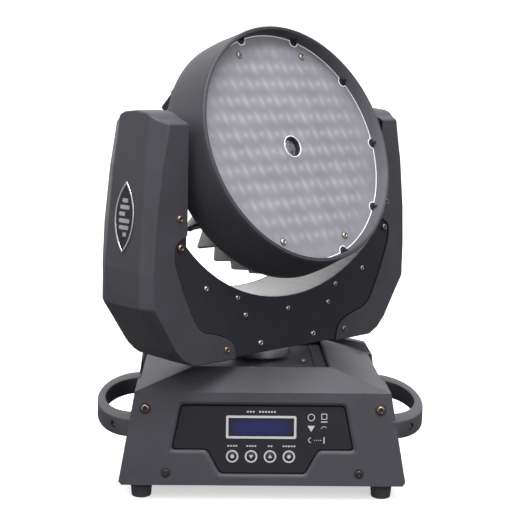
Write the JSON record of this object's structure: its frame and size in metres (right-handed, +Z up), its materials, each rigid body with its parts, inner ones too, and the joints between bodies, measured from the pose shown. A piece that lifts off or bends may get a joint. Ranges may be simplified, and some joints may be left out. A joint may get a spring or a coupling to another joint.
{
  "type": "moving head wash light",
  "caption": "Stage wash light: a drum-shaped head behind a frosted diffuser tilts in a forked yoke, which pans on a base with handles and a display.",
  "frame": {"origin": "on the pan axis, level with the soles of the feet; the centre of the underside", "axes": "+Z up along the pan axis, -Y towards the display side of the base, +X to the right as seen from that side"},
  "size_m": [0.373, 0.316, 0.5086],
  "materials": {
    "case_plastic": "fine texture, satin dark grey",
    "black_steel": "powder coat, satin black",
    "rubber": "matt black",
    "alloy": "machined",
    "zinc_steel": "zinc plated",
    "cast_alloy": "cast, dark grey anodised",
    "circuit_board": "solder mask",
    "panel_film": "satin black film",
    "lcd_glass": "blue liquid crystal display behind a clear face",
    "black_plastic": "moulded black",
    "diffuser_acrylic": "frosted acrylic",
    "clear_lens": "clear moulded optics",
    "badge_silver": "silver plated plastic"
  },
  "bodies": {
    "base": {"base_plate": "black_steel", "top_cover": "case_plastic", "rear_cover": "case_plastic", "foot_front_left": "rubber", "foot_front_right": "rubber", "foot_rear_left": "rubber", "foot_rear_right": "rubber", "handle_left": "case_plastic", "handle_right": "case_plastic", "display_panel": "panel_film", "lcd_module": "lcd_glass", "display_board": "circuit_board", "rear_panel": "black_steel", "power_inlet": "black_plastic", "dmx_input": "black_plastic", "dmx_output": "black_plastic", "fuse_holder": "black_plastic", "power_supply": "alloy", "control_board": "circuit_board", "pocket_floor": "black_steel", "pan_shaft": "zinc_steel", "pan_pulley": "alloy"},
    "yoke": {"pan_bearing": "zinc_steel", "pan_flange": "alloy", "yoke_floor": "black_steel", "yoke_saddle": "black_steel", "yoke_front_plate": "black_steel", "yoke_rear_plate": "black_steel", "arm_cover_left": "case_plastic", "arm_cover_right": "case_plastic", "arm_inner_plate_left": "black_steel", "arm_inner_plate_right": "black_steel", "badge_left": "badge_silver", "badge_right": "badge_silver", "pan_motor": "black_steel", "pan_motor_bracket": "zinc_steel", "pan_belt": "rubber", "tilt_motor": "black_steel", "tilt_belt": "rubber", "tilt_bearing_left": "zinc_steel", "tilt_bearing_right": "zinc_steel"},
    "head": {"head_ring": "case_plastic", "diffuser": "diffuser_acrylic", "led_board": "circuit_board", "lens_array": "clear_lens", "centre_collar": "black_plastic", "centre_lens": "clear_lens", "heat_sink": "cast_alloy", "fan_frame": "black_plastic", "fan_guard": "black_plastic", "tilt_shaft_left": "zinc_steel", "tilt_shaft_right": "zinc_steel", "tilt_pulley": "alloy"},
    "pan_pinion_wheel": {"pan_pinion": "alloy"},
    "tilt_pinion_wheel": {"tilt_pinion": "alloy"},
    "fan_wheel": {"fan_rotor": "black_plastic"},
    "menu_key": {"button_menu": "black_plastic"},
    "down_key": {"button_down": "black_plastic"},
    "up_key": {"button_up": "black_plastic"},
    "enter_key": {"button_enter": "black_plastic"}
  },
  "joints": [
    {"name": "pan", "type": "hinge", "parent": "base", "child": "yoke", "pos_m": [0, 0, 0.15], "axis": [0, 0, 1], "range_deg": [-310.6, 229.4]},
    {"name": "tilt", "type": "hinge", "parent": "yoke", "child": "head", "pos_m": [0, 0, 0.3612], "axis": [0.7593, 0.6508, 0], "range_deg": [-204, 66]},
    {"name": "pan_pinion_spin", "type": "hinge", "parent": "yoke", "child": "pan_pinion_wheel", "pos_m": [0.06074, 0.05206, 0.163], "axis": [0, 0, 1], "range_deg": [-920, 1245]},
    {"name": "tilt_pinion_spin", "type": "hinge", "parent": "yoke", "child": "tilt_pinion_wheel", "pos_m": [-0.1249, -0.10705, 0.222], "axis": [0.7593, 0.6508, 0], "range_deg": [-820, 268]},
    {"name": "fan_spin", "type": "hinge", "parent": "head", "child": "fan_wheel", "pos_m": [-0.0325, 0.03792, 0.34203], "axis": [0.6075, -0.7088, 0.3584], "continuous": true},
    {"name": "menu_press", "type": "slide", "parent": "base", "child": "menu_key", "axis": [0, 0.9884, -0.1516], "range_m": [0, 0.001], "stiffness_N_per_m": 300, "springref_m": -0.0006},
    {"name": "down_press", "type": "slide", "parent": "base", "child": "down_key", "axis": [0, 0.9884, -0.1516], "range_m": [0, 0.001], "stiffness_N_per_m": 300, "springref_m": -0.0006},
    {"name": "up_press", "type": "slide", "parent": "base", "child": "up_key", "axis": [0, 0.9884, -0.1516], "range_m": [0, 0.001], "stiffness_N_per_m": 300, "springref_m": -0.0006},
    {"name": "enter_press", "type": "slide", "parent": "base", "child": "enter_key", "axis": [0, 0.9884, -0.1516], "range_m": [0, 0.001], "stiffness_N_per_m": 300, "springref_m": -0.0006}
  ],
  "couplings": [
    {"joint": "pan_pinion_spin", "follows": "pan", "ratio": -4},
    {"joint": "tilt_pinion_spin", "follows": "tilt", "ratio": 4}
  ]
}
